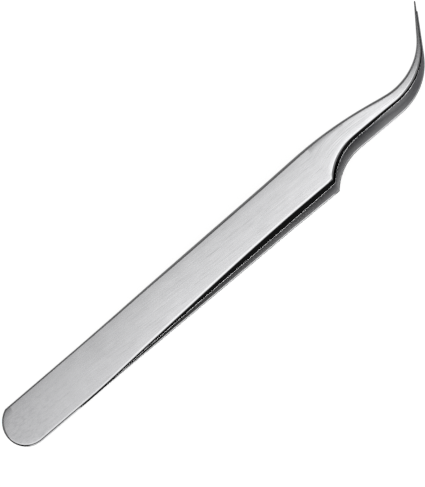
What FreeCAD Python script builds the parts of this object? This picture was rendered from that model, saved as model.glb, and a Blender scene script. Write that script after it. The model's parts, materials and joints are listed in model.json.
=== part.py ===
import FreeCAD, Part
import math
import os

# Curved watchmaker tweezers, in millimetres.
# Two spring arms, mirror images of each other, are welded face to face at the heel.
# The arm is drawn lying along X with the closing plane at z = 0, then tilted to its rest.

doc = FreeCAD.newDocument("CurvedTweezers")
sheet = doc.addObject("Spreadsheet::Sheet", "Sizes")

drivingSizes = [
    ("handleLength", 80.1),      # heel to the corner of the shoulder
    ("heelWidth", 9.66),         # across the welded end
    ("heelFullness", 0.2),       # radius of the round end, over half that width
    ("handleWidth", 9.36),       # across the grip
    ("narrowedBy", 32.0),        # the grip has its width from here on
    ("weldLength", 21.0),        # where the two arms part
    ("weldBlend", 4.0),          # half the length of the soft bend there
    ("heelThickness", 0.75),     # one arm at the weld
    ("gripThickness", 2.5),      # one arm at its thickest
    ("thickestAt", 70.0),        # its distance from the heel
    ("kneeAngle", 6.3),          # the arm leaves the closing plane at this angle
    ("bowHeight", 5.5),          # outer face above the closing plane at its highest
    ("bowPeak", 91.0),           # its distance from the heel
    ("bowFullness", 28.0),       # handle length of the bow's curve
    ("tipHeight", 3.4),          # outer face above the closing plane at the point
    ("shoulderRadius", 11.5),    # hollow between shoulder and neck
    ("neckDrop", 0.7),           # straight neck edge below the handle's centre line
    ("neckReach", 26.33),        # shoulder corner to where neck and beak edges would meet
    ("neckTaper", 11.3),         # back edge of the neck against its straight edge
    ("neckEase", 86.0),          # radius from the handle's back edge into the neck
    ("beakAngle", 57.3),         # turn of the beak away from the handle
    ("beakLength", 16.05),       # from where the edges would meet to the point
    ("beakWidth", 1.37),         # between the two edges where each would meet
    ("bellyRadius", 13.0),       # outside of the bend
    ("backRadius", 12.5),        # inside of the bend
    ("pointWidth", 0.3),
    ("pointThickness", 0.35),
    ("sideDraft", 15.0),         # sides lean in toward the outer face
    ("cornerRadius", 0.6),       # outer edges
    ("edgeBreak", 0.12),         # inner edges, off the weld
    ("seamBreak", 0.02),         # inner edges, along the weld
]
for row, (name, value) in enumerate(drivingSizes, start=1):
    sheet.set("A%d" % row, name)
    sheet.set("B%d" % row, str(value))
    sheet.setAlias("B%d" % row, name)
doc.recompute()


def size(name):
    return float(sheet.get(name))


def vector(x, y, z=0.0):
    return FreeCAD.Vector(x, y, z)


def smoothStep(share):
    share = min(max(share, 0.0), 1.0)
    return share * share * (3.0 - 2.0 * share)


def heading(degrees):
    angle = math.radians(degrees)
    return vector(math.cos(angle), math.sin(angle))


# Plan of one arm

handleLength = size("handleLength")
heelHalf = size("heelWidth") / 2.0
gripHalf = size("handleWidth") / 2.0
flatEnd = size("weldLength") - size("weldBlend")


def handleHalf(x):
    """half the handle's width at x"""
    share = (x - flatEnd) / (size("narrowedBy") - flatEnd)
    return heelHalf + (gripHalf - heelHalf) * smoothStep(share)


def tangentArc(before, corner, after, radius):
    """arc that rounds the corner of a bent line, with its first and last point"""
    toBefore = (before - corner).normalize()
    toAfter = (after - corner).normalize()
    halfAngle = toBefore.getAngle(toAfter) / 2.0
    reach = radius / math.tan(halfAngle)
    middle = (toBefore + toAfter).normalize() * (radius / math.sin(halfAngle) - radius)
    first = corner + toBefore * reach
    last = corner + toAfter * reach
    return Part.Arc(first, corner + middle, last).toShape(), first, last


shoulder = vector(handleLength, -gripHalf)
bellyCorner = vector(handleLength + size("neckReach"), -size("neckDrop"))
beakHeading = heading(size("beakAngle"))
bellyTip = bellyCorner + beakHeading * size("beakLength")
backTip = bellyTip + heading(size("beakAngle") + 90.0) * size("pointWidth")
halfTurn = math.radians(size("beakAngle") / 2.0)
bisector = heading(size("beakAngle") / 2.0 + 90.0)
backCorner = bellyCorner + bisector * (size("beakWidth") / math.cos(halfTurn))
neckSlope = heading(size("neckTaper"))
neckBack = vector(-neckSlope.x, neckSlope.y)
backRise = (gripHalf - backCorner.y) / neckBack.y
easeCorner = backCorner + neckBack * backRise

# the hollow of the shoulder ends where it touches the straight neck edge
hollowCentreY = -size("neckDrop") - size("shoulderRadius")
hollowRun = math.sqrt(size("shoulderRadius") ** 2 - (shoulder.y - hollowCentreY) ** 2)
hollowEnd = vector(handleLength + hollowRun, -size("neckDrop"))
hollowTurn = math.asin(hollowRun / size("shoulderRadius"))


def hollowPoint(turn):
    """point of the shoulder's hollow, by the angle left to its end"""
    radius = size("shoulderRadius")
    return vector(hollowEnd.x - radius * math.sin(turn), hollowCentreY + radius * math.cos(turn))


hollow = Part.Arc(shoulder, hollowPoint(hollowTurn / 2.0), hollowEnd).toShape()
bellyBend, bellyBendFirst, bellyBendLast = tangentArc(hollowEnd, bellyCorner, bellyTip, size("bellyRadius"))
bellyEdge = Part.Wire([
    hollow,
    Part.LineSegment(hollowEnd, bellyBendFirst).toShape(),
    bellyBend,
    Part.LineSegment(bellyBendLast, bellyTip).toShape(),
])

gripBack = vector(size("narrowedBy"), gripHalf)
backEase, backEaseFirst, backEaseLast = tangentArc(gripBack, easeCorner, backCorner, size("neckEase"))
backBend, backBendFirst, backBendLast = tangentArc(easeCorner, backCorner, backTip, size("backRadius"))
backEdge = Part.Wire([
    Part.LineSegment(gripBack, backEaseFirst).toShape(),
    backEase,
    Part.LineSegment(backEaseLast, backBendFirst).toShape(),
    backBend,
    Part.LineSegment(backBendLast, backTip).toShape(),
])

# the line that the sections of neck and beak are square to
midCorner = (bellyCorner + backCorner) / 2.0
midTip = (bellyTip + backTip) / 2.0
midHeading = (backCorner - backEaseLast).normalize()
midHeading = (midHeading + vector(1.0, 0.0)).normalize()
midStart = midCorner - midHeading * ((midCorner.x - handleLength) / midHeading.x)
midRadius = (size("bellyRadius") + size("backRadius")) / 2.0
midBend, midBendFirst, midBendLast = tangentArc(midStart, midCorner, midTip, midRadius)
midLine = [
    Part.LineSegment(midStart, midBendFirst).toShape(),
    midBend,
    Part.LineSegment(midBendLast, midTip).toShape(),
]
midLength = sum(edge.Length for edge in midLine)
armRun = handleLength + midLength


def midPoint(distance):
    """point and heading of the middle line, by the distance from the shoulder"""
    for edge in midLine:
        if distance <= edge.Length or edge is midLine[-1]:
            place = edge.getParameterByLength(min(distance, edge.Length))
            return edge.valueAt(place), edge.tangentAt(place)
        distance -= edge.Length


def crossing(edge, centre, side):
    """where a line from the centre toward one side meets an edge of the plan"""
    ray = Part.LineSegment(centre, centre + side * (2.0 * heelHalf)).toShape()
    return ray.distToShape(edge)[1][0][1]


# Heights of one arm, by the distance run from the heel

bowStart = vector(size("weldLength"), size("heelThickness"))
bowEnd = vector(size("bowPeak"), size("bowHeight"))
bow = Part.BezierCurve()
bow.setPoles([
    bowStart,
    bowStart + heading(size("kneeAngle")) * size("bowFullness"),
    bowEnd - vector(size("bowFullness"), 0.0),
    bowEnd,
])


def outerHeight(run):
    """outer face above the closing plane"""
    knee = size("weldLength")
    blend = size("weldBlend")
    slope = math.tan(math.radians(size("kneeAngle")))
    if run <= knee - blend:
        return size("heelThickness")
    if run <= knee + blend:
        soft = slope * (run - knee + blend) ** 2 / (4.0 * blend)
        straight = slope * max(run - knee, 0.0)
        curved = bowHeightAt(run) - size("heelThickness") if run > knee else 0.0
        return size("heelThickness") + soft + curved - straight
    if run <= size("bowPeak"):
        return bowHeightAt(run)
    share = (run - size("bowPeak")) / (armRun - size("bowPeak"))
    return size("bowHeight") - (size("bowHeight") - size("tipHeight")) * share ** 2


def bowHeightAt(run):
    low, high = 0.0, 1.0
    for _ in range(40):
        middle = (low + high) / 2.0
        if bow.value(middle).x < run:
            low = middle
        else:
            high = middle
    return bow.value(low).y


def thickness(run):
    """thickness of one arm"""
    if run <= size("thickestAt"):
        share = (run - size("weldLength")) / (size("thickestAt") - size("weldLength"))
        return size("heelThickness") + (size("gripThickness") - size("heelThickness")) * smoothStep(share)
    share = (run - size("thickestAt")) / (armRun - size("thickestAt"))
    return size("gripThickness") + (size("pointThickness") - size("gripThickness")) * share


def innerBreak(run):
    """bevel of the inner edges"""
    share = (run - flatEnd) / (size("narrowedBy") - flatEnd)
    return size("seamBreak") + (size("edgeBreak") - size("seamBreak")) * smoothStep(share)


# Sections

cornerSteps = 3             # narrow flats round each outer edge
bevelSteps = 1              # and across each inner edge
mostOfWall = 0.6            # an outer edge's radius at most, as a share of the wall
mostOfFlat = 0.6            # and as a share of half the outer face
mostOfLean = 0.3            # a side's lean at most, as a share of the half width
mostOfBevel = 0.2           # an inner edge's bevel at most, as a share of the wall


def cornerPoints(before, corner, after, radius, steps):
    """points of a corner that is rounded in a number of narrow flats"""
    toBefore = (before - corner).normalize()
    toAfter = (after - corner).normalize()
    halfAngle = toBefore.getAngle(toAfter) / 2.0
    centre = corner + (toBefore + toAfter).normalize() * (radius / math.sin(halfAngle))
    first = corner + toBefore * (radius / math.tan(halfAngle)) - centre
    last = corner + toAfter * (radius / math.tan(halfAngle)) - centre
    turn = math.degrees(first.getAngle(last))
    points = []
    for step in range(steps + 1):
        points.append(centre + FreeCAD.Rotation(first.cross(last), turn * step / steps).multVec(first))
    return points


def roundedLoop(corners, roundings):
    """closed wire through the corners, each with its radius and number of flats, or None"""
    points = []
    for index, corner in enumerate(corners):
        if roundings[index]:
            before = corners[index - 1]
            after = corners[(index + 1) % len(corners)]
            points.extend(cornerPoints(before, corner, after, *roundings[index]))
        else:
            points.append(corner)
    return Part.makePolygon(points + points[:1])


def sectionSizes(run, half):
    """wall, side lean and corner roundings of the section, held to its wall"""
    wall = thickness(run)
    lean = min(wall * math.tan(math.radians(size("sideDraft"))), mostOfLean * half)
    outer = min(size("cornerRadius"), mostOfWall * wall, mostOfFlat * (half - lean))
    inner = min(innerBreak(run), mostOfBevel * wall)
    return wall, lean, (outer, cornerSteps), (inner, bevelSteps)


def armSection(run, bellySide, backSide):
    """section of the arm between two points of its plan"""
    half = (backSide - bellySide).Length / 2.0
    wall, lean, outer, inner = sectionSizes(run, half)
    across = (backSide - bellySide).normalize()
    top = vector(0.0, 0.0, outerHeight(run))
    bottom = vector(0.0, 0.0, outerHeight(run) - wall)
    corners = [
        bellySide + bottom,
        backSide + bottom,
        backSide + top - across * lean,
        bellySide + top + across * lean,
    ]
    return roundedLoop(corners, [inner, inner, outer, outer])


def addSection(name, wire):
    section = doc.addObject("Part::Feature", name)
    section.Shape = wire
    return section


def handleSection(x):
    half = handleHalf(x)
    back = half
    if x > backEaseFirst.x:
        back = crossing(backEdge, vector(x, 0.0), vector(0.0, 1.0)).y
    return armSection(x, vector(x, -half), vector(x, back))


# the heel's round end: half a section turned about a centre that lies toward the back edge,
# so that it runs smoothly into the belly edge and meets the back edge in a soft corner
wall, lean, outer, inner = sectionSizes(0.0, heelHalf)
heelRadius = heelHalf + size("heelFullness")
turnedCorners = [
    vector(heelRadius, size("heelFullness"), 0.0),
    vector(heelRadius, size("heelFullness") + heelRadius, 0.0),
    vector(heelRadius, size("heelFullness") + heelRadius - lean, wall),
    vector(heelRadius, size("heelFullness"), wall),
]
turnedSection = addSection("heelTurnedSection", Part.Face(roundedLoop(turnedCorners, [None, inner, outer, None])))
disc = doc.addObject("Part::Revolution", "heelDisc")
disc.Source = turnedSection
disc.Axis = vector(0.0, 0.0, 1.0)
disc.Angle = 180.0
disc.setExpression("Base.x", "Sizes.heelWidth / 2 + Sizes.heelFullness")
disc.setExpression("Base.y", "Sizes.heelFullness")

backCorners = [
    vector(heelRadius, -2.0 * heelRadius, 0.0),
    vector(heelRadius, heelHalf, 0.0),
    vector(heelRadius, heelHalf - lean, wall),
    vector(heelRadius, -2.0 * heelRadius, wall),
]
backSection = addSection("heelBackSection", Part.Face(roundedLoop(backCorners, [None, inner, outer, None])))
backRun = doc.addObject("Part::Extrusion", "heelBack")
backRun.Base = backSection
backRun.DirMode = "Custom"
backRun.Dir = vector(-1.0, 0.0, 0.0)
backRun.setExpression("LengthFwd", "Sizes.heelWidth")
roundEnd = doc.addObject("Part::Common", "heelRound")
roundEnd.Base = disc
roundEnd.Tool = backRun

# and its straight run
heelSection = addSection("heelSection", Part.Face(handleSection(heelRadius)))
heelRun = doc.addObject("Part::Extrusion", "heelStraight")
heelRun.Base = heelSection
heelRun.DirMode = "Custom"
heelRun.Dir = vector(1.0, 0.0, 0.0)
heelRun.setExpression("LengthFwd", "Sizes.weldLength - Sizes.weldBlend - Sizes.heelWidth / 2 - Sizes.heelFullness")

# the handle, from the end of the flat weld to the shoulder
handleSteps = 18
handleSections = []
for step in range(handleSteps + 1):
    share = step / handleSteps
    x = flatEnd + (handleLength - flatEnd) * share
    handleSections.append(addSection("handleSection%02d" % step, handleSection(x)))
handle = doc.addObject("Part::Loft", "handle")
handle.Sections = handleSections
handle.Solid = True

# the neck and the beak, from the shoulder to the point
hollowSteps = 8
neckSteps = 5
bendSteps = 10
beakSteps = 5
neckStart = hollowEnd.x - handleLength
bendStart = midLine[0].Length
bendEnd = bendStart + midLine[1].Length
distances = []
for step in range(1, hollowSteps + 1):
    turn = hollowTurn * (1.0 - step / hollowSteps)
    distances.append(hollowPoint(turn).x - handleLength)
for step in range(1, neckSteps + 1):
    distances.append(neckStart + (bendStart - neckStart) * step / neckSteps)
for step in range(1, bendSteps + 1):
    distances.append(bendStart + (bendEnd - bendStart) * step / bendSteps)
for step in range(1, beakSteps):
    distances.append(bendEnd + (midLength - bendEnd) * step / beakSteps)

beakSections = [handleSections[-1]]
for number, distance in enumerate(distances, start=1):
    centre, ahead = midPoint(distance)
    square = min(distance / neckStart, 1.0)
    turned = ahead * square + vector(1.0, 0.0) * (1.0 - square)
    side = vector(-turned.y, turned.x).normalize()
    belly = crossing(bellyEdge, centre, side * -1.0)
    back = crossing(backEdge, centre, side)
    beakSections.append(addSection("beakSection%02d" % number, armSection(handleLength + distance, belly, back)))
beakSections.append(addSection("pointSection", armSection(armRun, bellyTip, backTip)))
beak = doc.addObject("Part::Loft", "neckAndBeak")
beak.Sections = beakSections
beak.Solid = True

upperArm = doc.addObject("Part::MultiFuse", "upperArm")
upperArm.Label = "upper_arm"
upperArm.Shapes = [roundEnd, heelRun, handle, beak]
upperArm.Refine = True

lowerArm = doc.addObject("Part::Mirroring", "lowerArm")
lowerArm.Label = "lower_arm"
lowerArm.Source = upperArm
lowerArm.Normal = vector(0.0, 0.0, 1.0)
doc.recompute()

# Rest: the pair lies on its lower arm, on the heel's edge and on the bow
flatHalf = max(corner.Point.y for corner in heelSection.Shape.Vertexes if corner.Point.z > 0.99 * wall)
heelEdge = heelHalf - flatHalf
restSlope = 0.0
for step in range(200):
    run = size("weldLength") + (size("bowPeak") - size("weldLength")) * step / 200
    restSlope = max(restSlope, (outerHeight(run) - size("heelThickness")) / (run - heelEdge))
restTurn = FreeCAD.Rotation(vector(0.0, 1.0, 0.0), -math.degrees(math.atan(restSlope)))
pair = Part.makeCompound([upperArm.Shape.copy(), lowerArm.Shape.copy()])
pair.Placement = FreeCAD.Placement(vector(0.0, 0.0), restTurn)
pairBox = pair.optimalBoundingBox(False, False)
restPlace = vector(-pairBox.Center.x, -pairBox.Center.y, -pairBox.ZMin)
restPlacement = FreeCAD.Placement(restPlace, restTurn)

upperArm.Placement = restPlacement
lowerArm.Base = restPlace
lowerArm.Normal = restTurn.multVec(vector(0.0, 0.0, 1.0))
doc.recompute()

for item in doc.Objects:
    if "Invalid" in item.State or "Error" in item.State:
        raise RuntimeError("%s failed: %s" % (item.Name, item.State))
arms = [upperArm, lowerArm]
for item in arms:
    if item.Shape.isNull() or not item.Shape.isValid() or len(item.Shape.Solids) != 1:
        raise RuntimeError("%s isn't one valid solid" % item.Label)

os.makedirs("parts", exist_ok=True)
for item in arms:
    box = item.Shape.optimalBoundingBox(False, False)
    print(item.Label, "%.2f x %.2f x %.2f mm" % (box.XLength, box.YLength, box.ZLength),
          "volume %.1f mm3" % item.Shape.Volume)
    item.Shape.exportStep("parts/%s.step" % item.Label)
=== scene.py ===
import json
import math

import bmesh
import bpy
from mathutils import Matrix, Vector


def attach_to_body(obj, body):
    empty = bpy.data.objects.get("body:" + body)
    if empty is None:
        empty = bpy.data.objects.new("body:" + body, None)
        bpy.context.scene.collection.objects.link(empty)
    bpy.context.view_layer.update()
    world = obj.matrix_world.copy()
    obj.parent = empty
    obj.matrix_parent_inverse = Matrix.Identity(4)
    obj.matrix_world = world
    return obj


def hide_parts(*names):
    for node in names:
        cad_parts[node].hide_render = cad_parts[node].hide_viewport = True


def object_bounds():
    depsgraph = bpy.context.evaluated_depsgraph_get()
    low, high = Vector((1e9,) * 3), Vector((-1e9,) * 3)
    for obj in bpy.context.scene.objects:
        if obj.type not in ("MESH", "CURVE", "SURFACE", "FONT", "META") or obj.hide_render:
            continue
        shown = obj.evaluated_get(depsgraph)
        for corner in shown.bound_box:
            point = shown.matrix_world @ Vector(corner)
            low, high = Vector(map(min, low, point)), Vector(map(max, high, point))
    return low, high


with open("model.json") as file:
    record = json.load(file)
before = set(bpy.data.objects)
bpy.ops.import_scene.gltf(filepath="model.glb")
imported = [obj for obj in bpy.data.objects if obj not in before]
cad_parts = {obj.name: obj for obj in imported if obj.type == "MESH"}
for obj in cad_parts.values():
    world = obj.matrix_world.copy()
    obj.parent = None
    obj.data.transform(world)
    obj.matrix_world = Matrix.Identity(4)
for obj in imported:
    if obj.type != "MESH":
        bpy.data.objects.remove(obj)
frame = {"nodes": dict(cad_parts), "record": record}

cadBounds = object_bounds()
millimetre = 0.001

# Curved watchmaker tweezers: two satin steel arms, mirror images of each other, welded at the heel.
# One arm is drawn in millimetres: x runs from the heel, y to the side that the points curve to, and z up
# from the closing plane.

blade = {
    "handleLength": 80.1,      # heel to the corner of the shoulder
    "heelHalf": 4.83,          # half the width of the welded end
    "gripHalf": 4.68,          # half the width of the grip
    "heelFullness": 0.2,       # radius of the round end, over that half width
    "flatEnd": 17.0,           # the flat weld ends here
    "narrowedBy": 32.0,        # the grip has its width from here on
    "kneeAt": 21.0,            # where the two arms part
    "kneeBlend": 4.0,          # the bend there is soft this far to either side
    "kneeAngle": 6.3,
    "heelWall": 0.75,          # one arm at the weld
    "gripWall": 2.5,           # one arm at its thickest
    "thickestAt": 70.0,
    "bowHeight": 5.5,          # outer face above the closing plane at its highest
    "bowPeak": 91.0,
    "bowFullness": 28.0,       # length of the handles of the bow's curve
    "tipHeight": 3.4,          # outer face above the closing plane at the point
    "shoulderRadius": 11.5,    # hollow between shoulder and neck
    "neckDrop": 0.7,           # belly edge of the neck below the middle of the grip
    "neckReach": 26.33,        # from the shoulder to where the neck's and the beak's belly edges would meet
    "neckTaper": 11.3,         # degrees of the neck's back edge against its belly edge
    "neckEase": 86.0,          # radius from the grip's back edge into the neck
    "beakAngle": 57.3,
    "beakLength": 16.05,       # from where those belly edges would meet to the point
    "beakWidth": 1.37,
    "bellyRadius": 13.0,       # outside of the bend
    "backRadius": 12.5,        # inside of the bend
    "pointWidth": 0.3,
    "pointWall": 0.35,
    "pointRound": 0.1,         # the very end of the point is drawn in over this length
    "pointShrink": 0.55,       # to this share of its section
    "sideDraft": 15.0,         # sides lean in toward the outer face
    "mostLean": 0.3,           # and by this share of the half width at most
    "cornerRadius": 0.6,       # outer edges
    "backSoftening": 0.18,     # the back one is this much rounder at the grip:
    "softFrom": 36.0,          # that starts here, is full between the next two and ends at the last
    "softest": (52.0, 77.0),
    "softTo": 84.0,
    "mostCorner": 0.6,         # an outer edge takes this share of the wall, and of the half face, at most
    "innerRadius": 0.24,       # inner edges, off the weld
    "seamRadius": 0.02,        # inner edges, along the weld
    "mostInner": 0.2,          # an inner edge takes this share of the wall at most
    "crown": 0.01,             # fall of the outer face at its edges, as a share of the half width
    "crownStrips": 6,
    "cornerSegments": 6,
    "innerSegments": 4,
    "sections": {              # how many there are along each stretch
        "heel": 16,
        "corner": 6,
        "handle": 34,
        "hollow": 18,
        "neck": 8,
        "bend": 26,
        "beak": 12,
    },
    "sharpAngle": 32.0,        # faces that meet at less than this are shaded smooth
    "mountRun": 9.0,           # the record's two mounts lie this far from the heel
}
alongGrip = Vector((1.0, 0.0))
acrossGrip = Vector((0.0, 1.0))


def heading(degrees):
    return Vector((math.cos(math.radians(degrees)), math.sin(math.radians(degrees))))


def smoothStep(share):
    share = min(max(share, 0.0), 1.0)
    return share * share * (3.0 - 2.0 * share)


def roundedCorner(before, corner, after, radius, steps):
    # points of the arc that rounds a corner
    toBefore = (before - corner).normalized()
    toAfter = (after - corner).normalized()
    half = toBefore.angle(toAfter) / 2.0
    centre = corner + (toBefore + toAfter).normalized() * (radius / math.sin(half))
    first = corner + toBefore * (radius / math.tan(half)) - centre
    last = corner + toAfter * (radius / math.tan(half)) - centre
    start = math.degrees(math.atan2(first.y, first.x))
    sweep = math.degrees(math.atan2(first.x * last.y - first.y * last.x, first.dot(last)))
    return [centre + heading(start + sweep * step / steps) * radius for step in range(steps + 1)]


# The plan of the arm: its belly edge, its back edge and the line between them

arcSteps = 200
shoulder = Vector((blade["handleLength"], -blade["gripHalf"]))
bellyCorner = Vector((blade["handleLength"] + blade["neckReach"], -blade["neckDrop"]))
bellyTip = bellyCorner + heading(blade["beakAngle"]) * blade["beakLength"]
backTip = bellyTip + heading(blade["beakAngle"] + 90.0) * blade["pointWidth"]
halfTurn = blade["beakAngle"] / 2.0
cornerReach = blade["beakWidth"] / math.cos(math.radians(halfTurn))
backCorner = bellyCorner + heading(halfTurn + 90.0) * cornerReach
neckBack = heading(180.0 - blade["neckTaper"])
easeCorner = backCorner + neckBack * ((blade["gripHalf"] - backCorner.y) / neckBack.y)

hollowCentreY = -blade["neckDrop"] - blade["shoulderRadius"]
hollowRun = math.sqrt(blade["shoulderRadius"] ** 2 - (shoulder.y - hollowCentreY) ** 2)
hollowTurn = math.degrees(math.asin(hollowRun / blade["shoulderRadius"]))
hollowCentre = Vector((blade["handleLength"] + hollowRun, hollowCentreY))
hollow = [
    hollowCentre + heading(90.0 + hollowTurn * (1.0 - step / arcSteps)) * blade["shoulderRadius"]
    for step in range(arcSteps + 1)
]
gripBack = Vector((blade["narrowedBy"], blade["gripHalf"]))
bellyBend = roundedCorner(hollow[-1], bellyCorner, bellyTip, blade["bellyRadius"], arcSteps)
bellyEdge = hollow + bellyBend + [bellyTip]
easeArc = roundedCorner(gripBack, easeCorner, backCorner, blade["neckEase"], arcSteps)
backBend = roundedCorner(easeCorner, backCorner, backTip, blade["backRadius"], arcSteps)
backEdge = [gripBack] + easeArc + backBend + [backTip]

midCorner = (bellyCorner + backCorner) / 2.0
midTip = (bellyTip + backTip) / 2.0
midHeading = ((backCorner - easeArc[-1]).normalized() + alongGrip).normalized()
midStart = midCorner - midHeading * ((midCorner.x - blade["handleLength"]) / midHeading.x)
midRadius = (blade["bellyRadius"] + blade["backRadius"]) / 2.0
midBend = roundedCorner(midStart, midCorner, midTip, midRadius, arcSteps)
midLine = [midStart] + midBend + [midTip]
midReach = [0.0]
for first, second in zip(midLine, midLine[1:]):
    midReach.append(midReach[-1] + (second - first).length)
armRun = blade["handleLength"] + midReach[-1]


def midPoint(distance):
    # point and direction of the middle line
    for index in range(len(midLine) - 1):
        if distance <= midReach[index + 1] or index == len(midLine) - 2:
            first, second = midLine[index], midLine[index + 1]
            share = (distance - midReach[index]) / (midReach[index + 1] - midReach[index])
            return first.lerp(second, min(share, 1.0)), (second - first).normalized()


def crossing(edge, centre, ahead, side):
    # where a section's line meets an edge of the plan, and the edge's direction there
    for first, second in zip(edge, edge[1:]):
        before = (first - centre).dot(ahead)
        after = (second - centre).dot(ahead)
        if before <= 0.0 < after:
            point = first.lerp(second, before / (before - after))
            if (point - centre).dot(side) > 0.0:
                return point, (second - first).normalized()
    return edge[-1], (edge[-1] - edge[-2]).normalized()


# Heights of the arm along its run

halvings = 30                  # of the stretch that holds a point of the bow's curve


def bowHeightAt(run):
    start = Vector((blade["kneeAt"], blade["heelWall"]))
    end = Vector((blade["bowPeak"], blade["bowHeight"]))
    second = start + heading(blade["kneeAngle"]) * blade["bowFullness"]
    third = end - Vector((blade["bowFullness"], 0.0))
    low, high = 0.0, 1.0
    for _ in range(halvings):
        share = (low + high) / 2.0
        rest = 1.0 - share
        point = (start * rest ** 3 + second * (3.0 * rest ** 2 * share)
                 + third * (3.0 * rest * share ** 2) + end * share ** 3)
        if point.x < run:
            low = share
        else:
            high = share
    return point.y


def outerHeight(run):
    knee, blend, wall = blade["kneeAt"], blade["kneeBlend"], blade["heelWall"]
    slope = math.tan(math.radians(blade["kneeAngle"]))
    if run <= knee - blend:
        return wall
    if run <= knee + blend:
        soft = slope * (run - knee + blend) ** 2 / (4.0 * blend)
        curved = bowHeightAt(run) - wall - slope * (run - knee) if run > knee else 0.0
        return wall + soft + curved
    if run <= blade["bowPeak"]:
        return bowHeightAt(run)
    share = (run - blade["bowPeak"]) / (armRun - blade["bowPeak"])
    return blade["bowHeight"] - (blade["bowHeight"] - blade["tipHeight"]) * share ** 2


def wallAt(run):
    if run <= blade["thickestAt"]:
        share = smoothStep((run - blade["kneeAt"]) / (blade["thickestAt"] - blade["kneeAt"]))
        return blade["heelWall"] + (blade["gripWall"] - blade["heelWall"]) * share
    share = (run - blade["thickestAt"]) / (armRun - blade["thickestAt"])
    return blade["gripWall"] + (blade["pointWall"] - blade["gripWall"]) * share


def handleHalf(x):
    share = smoothStep((x - blade["flatEnd"]) / (blade["narrowedBy"] - blade["flatEnd"]))
    return blade["heelHalf"] + (blade["gripHalf"] - blade["heelHalf"]) * share


# Sections round the arm. Each side has a foot on the plan's edge and two inward directions:
# one for the lean of the side, and one, at a right angle to the edge, for the rounding beyond it.

def sideProfile(run, half, back):
    # inward offset and height of each point, from the inner edge up over the outer edge
    wall = wallAt(run)
    lean = min(wall * math.tan(math.radians(blade["sideDraft"])), blade["mostLean"] * half)
    outer = min(blade["cornerRadius"], blade["mostCorner"] * wall, blade["mostCorner"] * (half - lean))
    if back:
        rising = smoothStep((run - blade["softFrom"]) / (blade["softest"][0] - blade["softFrom"]))
        falling = smoothStep((run - blade["softest"][1]) / (blade["softTo"] - blade["softest"][1]))
        outer += blade["backSoftening"] * rising * (1.0 - falling)
    opened = smoothStep((run - blade["flatEnd"]) / (blade["narrowedBy"] - blade["flatEnd"]))
    inner = blade["seamRadius"] + (blade["innerRadius"] - blade["seamRadius"]) * opened
    inner = min(inner, blade["mostInner"] * wall)
    foot, rim = Vector((0.0, 0.0)), Vector((lean, wall))
    profile = roundedCorner(Vector((half, 0.0)), foot, rim, inner, blade["innerSegments"])
    profile += roundedCorner(foot, rim, Vector((half, wall)), outer, blade["cornerSegments"])
    return profile, lean


def makeRing(run, belly, back, across, half, shrink=1.0):
    top = outerHeight(run)
    middle = (belly[0] + back[0]) / 2.0
    sides = []
    for foot, leaning, rounding in (belly, back):
        profile, lean = sideProfile(run, half, len(sides) == 1)
        side = []
        for offset, height in profile:
            plan = foot + leaning * min(offset, lean) + rounding * max(offset - lean, 0.0)
            side.append((plan, top - wallAt(run) + height))
        sides.append(side)
    face = []
    for strip in range(1, blade["crownStrips"]):
        face.append((sides[0][-1][0].lerp(sides[1][-1][0], strip / blade["crownStrips"]), top))
    points = []
    around = sides[0] + face + sides[1][::-1]
    innerEnds = (around[0][0], around[-1][0])
    around.append((innerEnds[0].lerp(innerEnds[1], 0.5), top - wallAt(run)))
    for index, (plan, height) in enumerate(around):
        sideways = (plan - middle).dot(across)
        fromInner = min(index, len(around) - 2 - index)
        if fromInner > blade["innerSegments"]:
            height -= blade["crown"] * sideways ** 2 / half
        place = plan.to_3d()
        place.z = height
        if shrink < 1.0:
            core = middle.to_3d()
            core.z = top - wallAt(run) / 2.0
            place = core.lerp(place, shrink)
        along = plan.x if run < blade["flatEnd"] else run
        # finish and painted shade: 1 on the brushed outer face, 0 on the sides and edges, -1 at the inner
        # face's edges and, from there to its middle, less by the distance from the edge, which darkens the
        # inner face as painted shade between the arms
        finishAndShade = 0.0
        if fromInner >= len(profile) - 1:
            finishAndShade = 1.0
        elif fromInner == 0:
            finishAndShade = -1.0
        elif fromInner < 0:
            finishAndShade = -1.0 - (innerEnds[1] - innerEnds[0]).length / 2.0
        points.append((place, (along, sideways + height, finishAndShade)))
    return points


heelRadius = blade["heelHalf"] + blade["heelFullness"]
heelCentre = Vector((heelRadius, blade["heelFullness"]))
cornerTurn = math.degrees(math.asin((blade["heelHalf"] - blade["heelFullness"]) / heelRadius))
sameTurn = 0.01                # degrees


def heelRing(degrees):
    # the round end runs smoothly into the belly edge and meets the straight back edge in a soft corner
    bellyIn = heading(degrees)
    backIn = heading(-degrees)
    belly = heelCentre - bellyIn * heelRadius
    back = heelCentre - backIn * heelRadius
    if degrees > cornerTurn + sameTurn:
        backIn = -acrossGrip
        back = Vector((belly.x, blade["heelHalf"]))
    elif degrees > cornerTurn - sameTurn:
        backIn = (backIn - acrossGrip) / (1.0 + math.cos(math.radians(90.0 - degrees)))
    sides = [(belly, bellyIn, bellyIn), (back, backIn, backIn)]
    return makeRing(belly.x, sides[0], sides[1], acrossGrip, blade["heelHalf"])


def bladeRing(run, belly, back, across, shrink=1.0):
    # belly and back are points on the plan's edges with the edges' directions
    half = (back[0] - belly[0]).length / 2.0
    sides = []
    for (foot, along), inward in ((belly, across), (back, -across)):
        slant = abs(inward.x * along.y - inward.y * along.x)
        sides.append((foot, inward, inward / slant))
    return makeRing(run, sides[0], sides[1], across, half, shrink)


def handleRing(x):
    half = handleHalf(x)
    belly = (Vector((x, -half)), alongGrip)
    back = (Vector((x, half)), alongGrip)
    if x > easeArc[0].x:
        back = crossing(backEdge, Vector((x, 0.0)), alongGrip, acrossGrip)
    return bladeRing(x, belly, back, acrossGrip)


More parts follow.
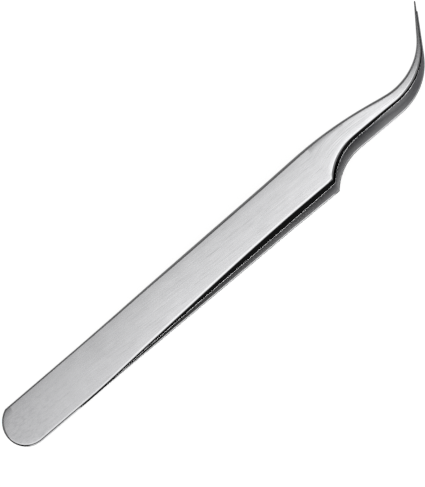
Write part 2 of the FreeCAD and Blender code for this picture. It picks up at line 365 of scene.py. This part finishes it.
def shoulderRing():
    # the belly's edges before and after the shoulder meet in a mitre
    x = blade["handleLength"]
    back, along = crossing(backEdge, Vector((x, 0.0)), alongGrip, acrossGrip)
    half = (back.y - shoulder.y) / 2.0
    mitre = Vector((-math.tan(math.radians(hollowTurn / 2.0)), 1.0))
    bellySide = (shoulder, acrossGrip, mitre)
    backSide = (back, -acrossGrip, -acrossGrip / along.x)
    return makeRing(x, bellySide, backSide, acrossGrip, half)


def beakRing(distance):
    centre, ahead = midPoint(distance)
    square = min(distance / hollowRun, 1.0)
    turned = (ahead * square + alongGrip * (1.0 - square)).normalized()
    side = Vector((-turned.y, turned.x))
    belly = crossing(bellyEdge, centre, turned, -side)
    back = crossing(backEdge, centre, turned, side)
    return bladeRing(blade["handleLength"] + distance, belly, back, side)


def armRings():
    sections = blade["sections"]
    rings = [heelRing(cornerTurn * step / sections["heel"]) for step in range(sections["heel"] + 1)]
    for step in range(1, sections["corner"] + 1):
        rings.append(heelRing(cornerTurn + (90.0 - cornerTurn) * step / sections["corner"]))
    rings.append(handleRing((heelRadius + blade["flatEnd"]) / 2.0))
    handleRun = blade["handleLength"] - blade["flatEnd"]
    for step in range(sections["handle"]):
        rings.append(handleRing(blade["flatEnd"] + handleRun * step / sections["handle"]))
    rings.append(shoulderRing())
    for step in range(1, sections["hollow"] + 1):
        turn = math.radians(hollowTurn * (1.0 - step / sections["hollow"]))
        rings.append(beakRing(hollowRun - blade["shoulderRadius"] * math.sin(turn)))
    bendStart = (midBend[0] - midStart).length
    bendEnd = midReach[-1] - (midTip - midBend[-1]).length
    lastFull = midReach[-1] - blade["pointRound"]
    stretches = (
        (hollowRun, bendStart, sections["neck"]),
        (bendStart, bendEnd, sections["bend"]),
        (bendEnd, lastFull, sections["beak"]),
    )
    for first, last, steps in stretches:
        for step in range(1, steps + 1):
            rings.append(beakRing(first + (last - first) * step / steps))
    pointSide = heading(blade["beakAngle"] + 90.0)
    beakHeading = heading(blade["beakAngle"])
    belly = (bellyTip, beakHeading)
    back = (backTip, beakHeading)
    rings.append(bladeRing(armRun, belly, back, pointSide, blade["pointShrink"]))
    return rings


def deselectAll():
    for item in bpy.context.selected_objects:
        item.select_set(False)


samePoint = 0.0005             # points nearer than this become one


def makeArm(rings):
    # a section at the heel, extruded section by section, each point moved to its place
    bpy.ops.mesh.primitive_circle_add(vertices=len(rings[0]), radius=1.0, fill_type="NGON")
    arm = bpy.context.active_object
    bpy.ops.object.mode_set(mode="EDIT")
    bpy.ops.mesh.select_mode(type="VERT")
    work = bmesh.from_edit_mesh(arm.data)
    numberOf = work.verts.layers.int.new("number")
    layers = [work.verts.layers.float.new(name) for name in ("along", "aside", "finishAndShade")]
    for index, vert in enumerate(work.verts):
        vert[numberOf] = index
    for count, ring in enumerate(rings):
        if count > 0:
            bpy.ops.mesh.extrude_region_move()
        fresh = [vert for vert in work.verts if vert.select]
        for vert in fresh:
            place, values = ring[vert[numberOf]]
            for layer, value in zip(layers, values):
                vert[layer] = value
            bpy.ops.mesh.select_all(action="DESELECT")
            vert.select_set(True)
            bpy.ops.transform.translate(value=place - vert.co)
        for vert in fresh:
            vert.select_set(True)
        work.select_flush(True)
    bpy.ops.mesh.select_all(action="SELECT")
    bpy.ops.mesh.remove_doubles(threshold=samePoint)
    bpy.ops.mesh.normals_make_consistent(inside=False)
    bpy.ops.object.mode_set(mode="OBJECT")
    return arm


def mapAlongBlade(arm):
    # a map whose first axis follows the arm round the beak, so that the brushing does too
    mesh = arm.data
    layer = mesh.uv_layers.active or mesh.uv_layers.new(name="blade")
    layer.name = "blade"
    along = mesh.attributes["along"].data
    aside = mesh.attributes["aside"].data
    for loop in mesh.loops:
        layer.data[loop.index].uv = (along[loop.vertex_index].value, aside[loop.vertex_index].value)


print("stage: upper arm")
deselectAll()
upperArm = makeArm(armRings())
upperArm.name = upperArm.data.name = "satinUpperArm"
mapAlongBlade(upperArm)

print("stage: lower arm, mirrored over the closing plane")
bpy.ops.object.duplicate()
lowerArm = bpy.context.active_object
lowerArm.name = lowerArm.data.name = "satinLowerArm"
lowerArm.scale.z = -1.0
bpy.ops.object.transform_apply(location=False, rotation=False, scale=True)
bpy.ops.object.mode_set(mode="EDIT")
bpy.ops.mesh.select_all(action="SELECT")
bpy.ops.mesh.normals_make_consistent(inside=False)
bpy.ops.object.mode_set(mode="OBJECT")

print("stage: rest place, smooth faces")
mounts = {mount["name"]: mount for mount in frame["record"]["mounts"]}
restUp = Vector(mounts["heel_upper_face"]["axis"])
restAlong = Vector((restUp.z, 0.0, -restUp.x))
heelMiddle = (Vector(mounts["heel_upper_face"]["pos_m"]) + Vector(mounts["heel_lower_face"]["pos_m"])) / 2.0
armOrigin = heelMiddle - restAlong * (blade["mountRun"] * millimetre)
arms = {"upper_arm": upperArm, "lower_arm": lowerArm}
for arm in arms.values():
    deselectAll()
    arm.select_set(True)
    bpy.context.view_layer.objects.active = arm
    arm.scale = (millimetre,) * 3
    arm.rotation_euler.y = -math.atan2(restAlong.z, restAlong.x)
    arm.location = armOrigin
    bpy.ops.object.transform_apply(location=True, rotation=True, scale=True)
    bpy.ops.object.shade_smooth_by_angle(angle=math.radians(blade["sharpAngle"]))
    weighted = arm.modifiers.new("flatFaces", "WEIGHTED_NORMAL")
    weighted.keep_sharp = True
    bpy.ops.object.modifier_apply(modifier=weighted.name)
    print("arm", arm.name, len(arm.data.polygons), "faces")

# Satin steel, brushed along the arm

# helpers for node trees; a value is a socket or a plain number

def attach(tree, value, socket):
    if isinstance(value, bpy.types.NodeSocket):
        tree.links.new(value, socket)
    else:
        socket.default_value = value


def ranged(tree, value, fromLow, fromHigh, toLow=0.0, toHigh=1.0, kind="LINEAR"):
    node = tree.nodes.new("ShaderNodeMapRange")
    node.interpolation_type = kind
    limits = {"From Min": fromLow, "From Max": fromHigh, "To Min": toLow, "To Max": toHigh}
    for name, number in limits.items():
        node.inputs[name].default_value = number
    tree.links.new(value, node.inputs["Value"])
    return node.outputs["Result"]


def combined(tree, kind, first, second):
    node = tree.nodes.new("ShaderNodeMath")
    node.operation = kind
    attach(tree, first, node.inputs[0])
    attach(tree, second, node.inputs[1])
    return node.outputs["Value"]


def mixed(tree, share, first, second):
    node = tree.nodes.new("ShaderNodeMix")
    node.data_type = "RGBA"
    attach(tree, share, node.inputs["Factor"])
    attach(tree, first, node.inputs["A"])
    attach(tree, second, node.inputs["B"])
    return node.outputs["Result"]


steel = {
    "tint": (0.66, 0.66, 0.67, 1.0),
    "heelShadeTint": (0.465, 0.465, 0.475, 1.0),       # painted shade: darker toward the heel, for the dimmer reflection there
    "heelShadeAndWearUntil": 42.0,                            # millimetres from the heel where this painted shade, and the fainter brushing, end
    "roughness": 0.26,
    "roughnessSpread": 0.08,
    # patterns: millimetres along and across, fine detail, place in the noise
    "streaks": ((16.0, 0.16), 3.0, 0.0),          # the brushing
    "scratches": ((5.0, 0.30), 1.0, 31.7),
    "mottle": ((3.0, 1.6), 4.0, 57.3),
    "marks": ((1.3, 0.55), 3.0, 83.1),            # of handling, on the round end
    "patternRoughness": 0.6,
    # the part of each noise's range that shows, and how much darker it makes the steel
    "streakRange": (0.3, 0.7),
    "streakTone": 0.09,
    "streakDepth": 0.0008,                        # millimetres
    "heelStreaks": 0.15,                          # share of the brushing that is left at the heel
    "scratchRange": (0.62, 0.75),
    "scratchTone": 0.14,
    "mottleRange": (0.35, 0.65),
    "mottleTone": 0.06,
    "markRange": (0.45, 0.7),
    "markTone": 0.13,
    "marksFade": (4.0, 18.0),                     # millimetres from the heel
    "edgeRoughness": 0.09,                        # sides and edges are polished
    "innerRoughness": 0.5,                        # the faces between the arms are left matt
    "innerTintAndShade": (0.62, 0.62, 0.63, 1.0),         # along their edges; deeper in they take painted shade
    "innerDeepShade": (0.09, 0.09, 0.10, 1.0),     # painted shade between the arms, full from this far in from the edges
    "innerShadeReach": 1.9,
    "innerPointShade": (0.18, 0.18, 0.19, 1.0),    # painted shade where the beak grips
    "innerPointShadeRun": (96.0, 105.0),               # millimetres from the heel
    "innerCloseShade": (0.06, 0.06, 0.06, 1.0),    # painted shade where the arms run close together
    "innerCloseShadeRun": (32.0, 64.0),
}


def bladePattern(tree, coordinates, size, detail, offset):
    stretch = tree.nodes.new("ShaderNodeMapping")
    stretch.inputs["Location"].default_value = (offset, offset, 0.0)
    stretch.inputs["Scale"].default_value = (1.0 / size[0], 1.0 / size[1], 1.0)
    tree.links.new(coordinates, stretch.inputs["Vector"])
    noise = tree.nodes.new("ShaderNodeTexNoise")
    noise.inputs["Scale"].default_value = 1.0
    noise.inputs["Detail"].default_value = detail
    noise.inputs["Roughness"].default_value = steel["patternRoughness"]
    tree.links.new(stretch.outputs["Vector"], noise.inputs["Vector"])
    return noise.outputs["Fac"]


def satinSteel():
    material = bpy.data.materials.new("satinSteel")
    material.use_nodes = True
    tree = material.node_tree
    shader = tree.nodes["Principled BSDF"]
    shader.inputs["Metallic"].default_value = 1.0
    bladeMap = tree.nodes.new("ShaderNodeUVMap")
    bladeMap.uv_map = "blade"
    where = bladeMap.outputs["UV"]
    streaks = bladePattern(tree, where, *steel["streaks"])
    scratches = ranged(tree, bladePattern(tree, where, *steel["scratches"]), *steel["scratchRange"])
    mottle = bladePattern(tree, where, *steel["mottle"])
    marks = bladePattern(tree, where, *steel["marks"])

    place = tree.nodes.new("ShaderNodeSeparateXYZ")
    tree.links.new(where, place.inputs["Vector"])
    fromHeel = ranged(tree, place.outputs["X"], 0.0, steel["heelShadeAndWearUntil"])
    brushing = ranged(tree, fromHeel, 0.0, 1.0, steel["heelStreaks"], 1.0)
    finishAndShade = tree.nodes.new("ShaderNodeAttribute")
    finishAndShade.attribute_name = "finishAndShade"
    outerShare = ranged(tree, finishAndShade.outputs["Fac"], 0.0, 1.0)
    innerShare = ranged(tree, finishAndShade.outputs["Fac"], 0.0, -1.0)

    # what darkens the steel: the low parts of the streaks and the mottle, the scratches and the marks
    dark = ranged(tree, streaks, *steel["streakRange"], steel["streakTone"], 0.0)
    dark = combined(tree, "ADD", dark, combined(tree, "MULTIPLY", scratches, steel["scratchTone"]))
    dark = combined(tree, "MULTIPLY", dark, brushing)
    mottled = ranged(tree, mottle, *steel["mottleRange"], steel["mottleTone"], 0.0)
    dark = combined(tree, "ADD", dark, mottled)
    marks = ranged(tree, marks, *steel["markRange"], 0.0, steel["markTone"])
    marked = ranged(tree, place.outputs["X"], *steel["marksFade"], 1.0, 0.0)
    dark = combined(tree, "ADD", dark, combined(tree, "MULTIPLY", marks, marked))

    # painted shade: the outer tint darkens toward the heel
    tint = mixed(tree, fromHeel, steel["heelShadeTint"], steel["tint"])
    # painted shade: the inner faces darken from their edges inward, where the arms shade each other
    shadeInward = ranged(tree, finishAndShade.outputs["Fac"], -1.0, -1.0 - steel["innerShadeReach"])
    innerTintAndShade = mixed(tree, shadeInward, steel["innerTintAndShade"], steel["innerDeepShade"])
    # painted shade: the inner faces darker still along the beak
    beakShadeShare = ranged(tree, place.outputs["X"], *steel["innerPointShadeRun"])
    innerTintAndShade = mixed(tree, beakShadeShare, innerTintAndShade, steel["innerPointShade"])
    # painted shade: the inner faces darkest where the arms run close together
    closeShadeFade = ranged(tree, place.outputs["X"], *steel["innerCloseShadeRun"])
    innerTintAndShade = mixed(tree, closeShadeFade, steel["innerCloseShade"], innerTintAndShade)
    tint = mixed(tree, innerShare, tint, innerTintAndShade)
    shade = tree.nodes.new("ShaderNodeVectorMath")
    shade.operation = "SCALE"
    tree.links.new(tint, shade.inputs["Vector"])
    tree.links.new(combined(tree, "SUBTRACT", 1.0, dark), shade.inputs["Scale"])
    tree.links.new(shade.outputs["Vector"], shader.inputs["Base Color"])

    halfSpread = steel["roughnessSpread"] / 2.0
    uneven = ranged(tree, streaks, *steel["streakRange"], halfSpread, -halfSpread)
    uneven = combined(tree, "MULTIPLY", uneven, brushing)
    brushed = combined(tree, "ADD", uneven, steel["roughness"] - steel["edgeRoughness"])
    brushed = combined(tree, "MULTIPLY", brushed, outerShare)
    matt = combined(tree, "MULTIPLY", innerShare, steel["innerRoughness"] - steel["edgeRoughness"])
    rough = combined(tree, "ADD", combined(tree, "ADD", brushed, matt), steel["edgeRoughness"])
    tree.links.new(rough, shader.inputs["Roughness"])
    bump = tree.nodes.new("ShaderNodeBump")
    bump.inputs["Distance"].default_value = steel["streakDepth"] * millimetre
    lines = combined(tree, "MULTIPLY", combined(tree, "SUBTRACT", streaks, scratches), brushing)
    tree.links.new(combined(tree, "MULTIPLY", lines, outerShare), bump.inputs["Height"])
    tree.links.new(bump.outputs["Normal"], shader.inputs["Normal"])
    return material


print("stage: steel")
steelMaterial = satinSteel()
for node, arm in arms.items():
    arm.data.materials.clear()
    arm.data.materials.append(steelMaterial)
    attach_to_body(arm, "root")
    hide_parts(node)
for node in frame["nodes"].values():
    for slot in node.material_slots:
        slot.material = steelMaterial

# Floor and light

studio = {
    "floorSize": 6.0,          # metres
    "floorTone": 0.25,
    "floorRoughness": 0.9,
    "floorGlow": 0.88,
    "background": 1.0,
    "dome": 0.3,               # brightness of the rest of the room above the floor
    "domeEdge": (-0.05, 0.1),  # it fades in between these heights, with level 0 and straight up 1
    "boxEdge": 0.02,           # and each softbox fades in between level and this height
    "boxLowest": 0.001,        # slopes are divided by this height at least
    "belowSteps": 1.5,         # the cards below reach a ray's first step and no further
    # softboxes as the blade sees them, in degrees from straight overhead or from straight below:
    # toward the heel and the points, toward the belly and the back side, soft edge, brightness;
    # a dark flag takes brightness away
    "overhead": {
        "panel": ((-79.0, 20.0), (-66.0, 19.0), 6.0, 1.0),
        "front": ((2.5, 10.0), (0.0, 18.5), 6.0, 1.1),
        "belly": ((-60.0, 20.0), (-60.0, -2.0), 6.0, 0.2),
        "backFlag": ((-30.0, 34.0), (30.0, 62.0), 10.0, -0.18),
        "pointsFlag": ((31.0, 60.0), (-30.0, 26.0), 8.0, -0.12),
        "beakFlag": ((11.0, 34.0), (11.0, 36.0), 6.0, -0.6),
    },
    "below": {
        "rim": ((-50.0, 50.0), (20.0, 78.0), 8.0, 0.5),
        "glint": ((-18.0, 24.0), (-19.0, 2.0), 4.0, 3.8),
        "fill": ((-60.0, 60.0), (-75.0, -30.0), 10.0, 0.01),
    },
}


def addFloor():
    bpy.ops.mesh.primitive_plane_add(size=studio["floorSize"], location=(0.0, 0.0, cadBounds[0].z))
    floor = bpy.context.active_object
    floor.name = "paleFloor"
    material = bpy.data.materials.new("palePaper")
    material.use_nodes = True
    shader = material.node_tree.nodes["Principled BSDF"]
    tone = studio["floorTone"]
    shader.inputs["Base Color"].default_value = (tone, tone, tone, 1.0)
    shader.inputs["Roughness"].default_value = studio["floorRoughness"]
    shader.inputs["Specular IOR Level"].default_value = 0.0
    shader.inputs["Emission Color"].default_value = (1.0, 1.0, 1.0, 1.0)
    shader.inputs["Emission Strength"].default_value = studio["floorGlow"]
    floor.data.materials.append(material)
    floor.visible_glossy = False
    floor.visible_shadow = False


def softbox(tree, parts, height, sides, soft, brightness):
    # bright between the angles of its sides, which are measured from the axis of height
    share = ranged(tree, height, 0.0, studio["boxEdge"], 0.0, brightness)
    height = combined(tree, "MAXIMUM", height, studio["boxLowest"])
    for part, limits in zip(parts, sides):
        slope = combined(tree, "DIVIDE", part, height)
        for limit, sign in zip(limits, (1.0, -1.0)):
            outer = sign * math.tan(math.radians(limit - sign * soft / 2.0))
            inner = sign * math.tan(math.radians(limit + sign * soft / 2.0))
            facing = combined(tree, "MULTIPLY", slope, sign)
            share = combined(tree, "MULTIPLY", share, ranged(tree, facing, outer, inner, kind="SMOOTHSTEP"))
    return share


def addLight():
    world = bpy.data.worlds.new("softStudio")
    bpy.context.scene.world = world
    world.use_nodes = True
    tree = world.node_tree
    direction = tree.nodes.new("ShaderNodeTexCoord")
    parts = tree.nodes.new("ShaderNodeSeparateXYZ")
    tree.links.new(direction.outputs["Generated"], parts.inputs["Vector"])
    aside = (parts.outputs["X"], parts.outputs["Y"])
    total = ranged(tree, parts.outputs["Z"], *studio["domeEdge"], 0.0, studio["dome"])
    path = tree.nodes.new("ShaderNodeLightPath")
    # the cards below show on the edges, and don't light the room between the arms;
    # a ray that left a glossy face counts one step more than the same light found directly
    depth = combined(tree, "SUBTRACT", path.outputs["Ray Depth"], path.outputs["Is Glossy Ray"])
    firstStep = combined(tree, "LESS_THAN", depth, studio["belowSteps"])
    for name, sign, reach in (("overhead", 1.0, 1.0), ("below", -1.0, firstStep)):
        height = combined(tree, "MULTIPLY", parts.outputs["Z"], sign)
        for along, across, soft, brightness in studio[name].values():
            light = softbox(tree, aside, height, (along, across), soft, brightness)
            total = combined(tree, "ADD", total, combined(tree, "MULTIPLY", light, reach))
    total = combined(tree, "MAXIMUM", total, 0.0)
    sky = tree.nodes["Background"]
    sky.inputs["Color"].default_value = (1.0, 1.0, 1.0, 1.0)
    tree.links.new(total, sky.inputs["Strength"])
    plain = tree.nodes.new("ShaderNodeBackground")
    plain.inputs["Color"].default_value = (1.0, 1.0, 1.0, 1.0)
    plain.inputs["Strength"].default_value = studio["background"]
    mix = tree.nodes.new("ShaderNodeMixShader")
    tree.links.new(path.outputs["Is Camera Ray"], mix.inputs["Fac"])
    tree.links.new(sky.outputs["Background"], mix.inputs[1])
    tree.links.new(plain.outputs["Background"], mix.inputs[2])
    tree.links.new(mix.outputs["Shader"], tree.nodes["World Output"].inputs["Surface"])


heelCard = {
    "size": (40.0, 24.0),      # millimetres along and across the blade
    "along": -8.0,             # from the heel
    "distance": 50.0,
    "down": 45.0,              # degrees below level, on the belly side
    "brightness": 1.25,
}


def addHeelCard():
    # a small card beside and below the heel, which lights the thin edge there
    data = bpy.data.lights.new("heelCard", "AREA")
    data.shape = "RECTANGLE"
    data.size, data.size_y = (side * millimetre for side in heelCard["size"])
    data.energy = heelCard["brightness"] * math.pi * data.size * data.size_y
    card = bpy.data.objects.new("heelCard", data)
    bpy.context.scene.collection.objects.link(card)
    down = math.radians(heelCard["down"])
    toward = Vector((0.0, -math.cos(down), -math.sin(down)))
    card.location = armOrigin + Vector((heelCard["along"], 0.0, 0.0)) * millimetre
    card.location += toward * heelCard["distance"] * millimetre
    card.rotation_euler = (math.radians(90.0 + heelCard["down"]), 0.0, 0.0)


# Camera, at the photograph's angle: it looks down on the outer face, a little from the belly side

view = {
    "imageSize": (425, 487),
    "focalPixels": 2064.0,
    "sensor": 36.0,
    "distance": 400.0,         # millimetres from the heel's level
    "sideTilt": 15.0,          # degrees from straight above, toward the belly side
    "turn": 40.5,              # degrees of the arm in the picture above its lower edge
    "heelPixel": (7.835, 438.245),    # where the picture shows the heel's end
    "heelShift": 0.1,          # millimetres from the arm's middle line to that point, on the belly side
    "pixelsPerMillimetre": 5.16,
    "clipStart": 10.0,         # millimetres
}


def addCamera():
    tilt = math.radians(view["sideTilt"])
    turn = math.radians(view["turn"])
    along = Vector((1.0, 0.0, 0.0))
    aside = Vector((0.0, -math.cos(tilt), -math.sin(tilt)))
    back = Vector((0.0, -math.sin(tilt), math.cos(tilt)))
    right = along * math.cos(turn) + aside * math.sin(turn)
    up = along * math.sin(turn) - aside * math.cos(turn)
    toMiddle = (Vector(view["imageSize"]) - Vector((1.0, 1.0))) / 2.0 - Vector(view["heelPixel"])
    toMiddle = toMiddle / view["pixelsPerMillimetre"]
    place = right * toMiddle.x - up * toMiddle.y + back * view["distance"]
    place.y -= view["heelShift"]
    # from the arm's own frame to its place at rest
    toRest = Matrix((restAlong, (0.0, 1.0, 0.0), restUp)).transposed()
    data = bpy.data.cameras.new("camera")
    data.sensor_width = view["sensor"]
    data.lens = view["focalPixels"] * view["sensor"] / max(view["imageSize"])
    data.clip_start = view["clipStart"] * millimetre
    camera = bpy.data.objects.new("camera", data)
    bpy.context.scene.collection.objects.link(camera)
    camera.location = armOrigin + toRest @ place * millimetre
    camera.rotation_euler = (toRest @ Matrix((right, up, back)).transposed()).to_euler()
    bpy.context.scene.camera = camera


print("stage: floor, light and camera")
addFloor()
addLight()
addHeelCard()
addCamera()
bpy.context.scene.view_settings.view_transform = "Standard"
